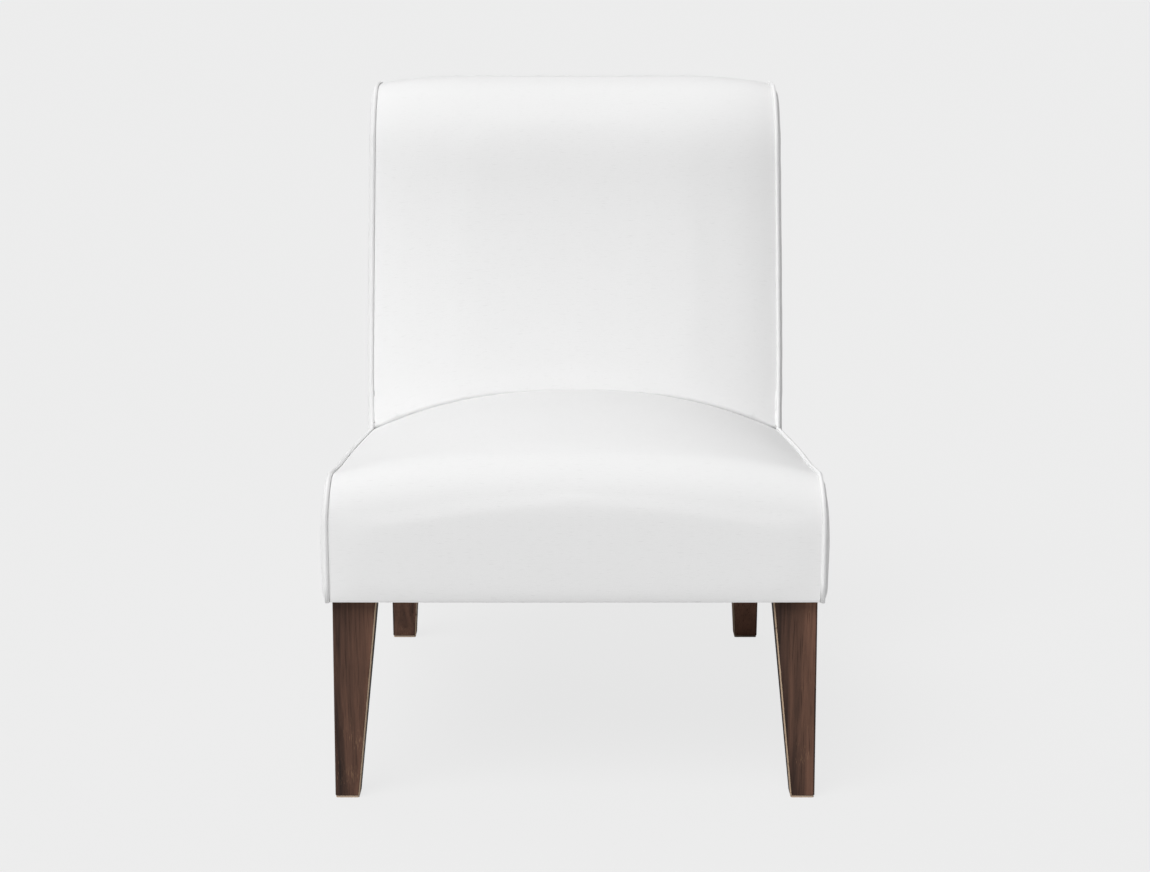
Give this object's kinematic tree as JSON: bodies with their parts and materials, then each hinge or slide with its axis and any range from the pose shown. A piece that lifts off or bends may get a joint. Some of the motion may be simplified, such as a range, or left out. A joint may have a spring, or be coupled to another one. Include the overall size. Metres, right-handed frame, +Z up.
{
  "type": "slipper chair",
  "caption": "Armless upholstered slipper chair with a sprung, crowned seat, a padded curved back, white welted covers and tapered dark walnut legs.",
  "frame": {"origin": "on the floor under the middle of the whole chair's box", "axes": "+X across the chair to the right as seen from the front, +Y from the seat's front to its back, +Z up"},
  "size_m": [0.5674, 0.691, 0.8019],
  "materials": {
    "cover_cloth": "smooth matt white upholstery cloth, finely woven",
    "welt_cloth": "the same cloth over cord",
    "stained_walnut": "dark walnut stain, satin",
    "frame_timber": "planed hardwood",
    "upholstery_foam": "open-cell foam",
    "wadding": "polyester wadding",
    "felt": "pressed felt",
    "spring_steel": "drawn spring wire",
    "zinc_steel": "zinc plated",
    "jute": "woven jute webbing",
    "cambric": "black spun-bonded dust cloth",
    "foot_pad": "pale felt"
  },
  "bodies": {
    "root": {"front_seat_rail": "frame_timber", "rear_seat_rail": "frame_timber", "left_seat_rail": "frame_timber", "right_seat_rail": "frame_timber", "left_back_post": "frame_timber", "right_back_post": "frame_timber", "back_top_rail": "frame_timber", "back_lower_rail": "frame_timber", "front_left_leg": "stained_walnut", "front_left_block": "frame_timber", "front_left_threaded_insert": "zinc_steel", "front_left_hanger_bolt": "zinc_steel", "front_left_foot_pad": "foot_pad", "front_right_leg": "stained_walnut", "front_right_block": "frame_timber", "front_right_threaded_insert": "zinc_steel", "front_right_hanger_bolt": "zinc_steel", "front_right_foot_pad": "foot_pad", "rear_left_leg": "stained_walnut", "rear_left_block": "frame_timber", "rear_left_threaded_insert": "zinc_steel", "rear_left_hanger_bolt": "zinc_steel", "rear_left_foot_pad": "foot_pad", "rear_right_leg": "stained_walnut", "rear_right_block": "frame_timber", "rear_right_threaded_insert": "zinc_steel", "rear_right_hanger_bolt": "zinc_steel", "rear_right_foot_pad": "foot_pad", "seat_spring_1": "spring_steel", "seat_spring_2": "spring_steel", "seat_spring_3": "spring_steel", "seat_spring_4": "spring_steel", "front_spring_clip_1": "zinc_steel", "front_spring_clip_2": "zinc_steel", "front_spring_clip_3": "zinc_steel", "front_spring_clip_4": "zinc_steel", "rear_spring_clip_1": "zinc_steel", "rear_spring_clip_2": "zinc_steel", "rear_spring_clip_3": "zinc_steel", "rear_spring_clip_4": "zinc_steel", "spring_insulator": "felt", "back_webbing_1": "jute", "back_webbing_2": "jute", "back_webbing_3": "jute", "seat_foam": "upholstery_foam", "back_foam": "upholstery_foam", "outside_back_padding": "wadding", "left_side_padding": "wadding", "right_side_padding": "wadding", "seat_cover": "cover_cloth", "back_cover": "cover_cloth", "outside_back_cover": "cover_cloth", "left_side_cover": "cover_cloth", "right_side_cover": "cover_cloth", "left_welt": "welt_cloth", "right_welt": "welt_cloth", "dust_cover": "cambric"}
  },
  "joints": []
}
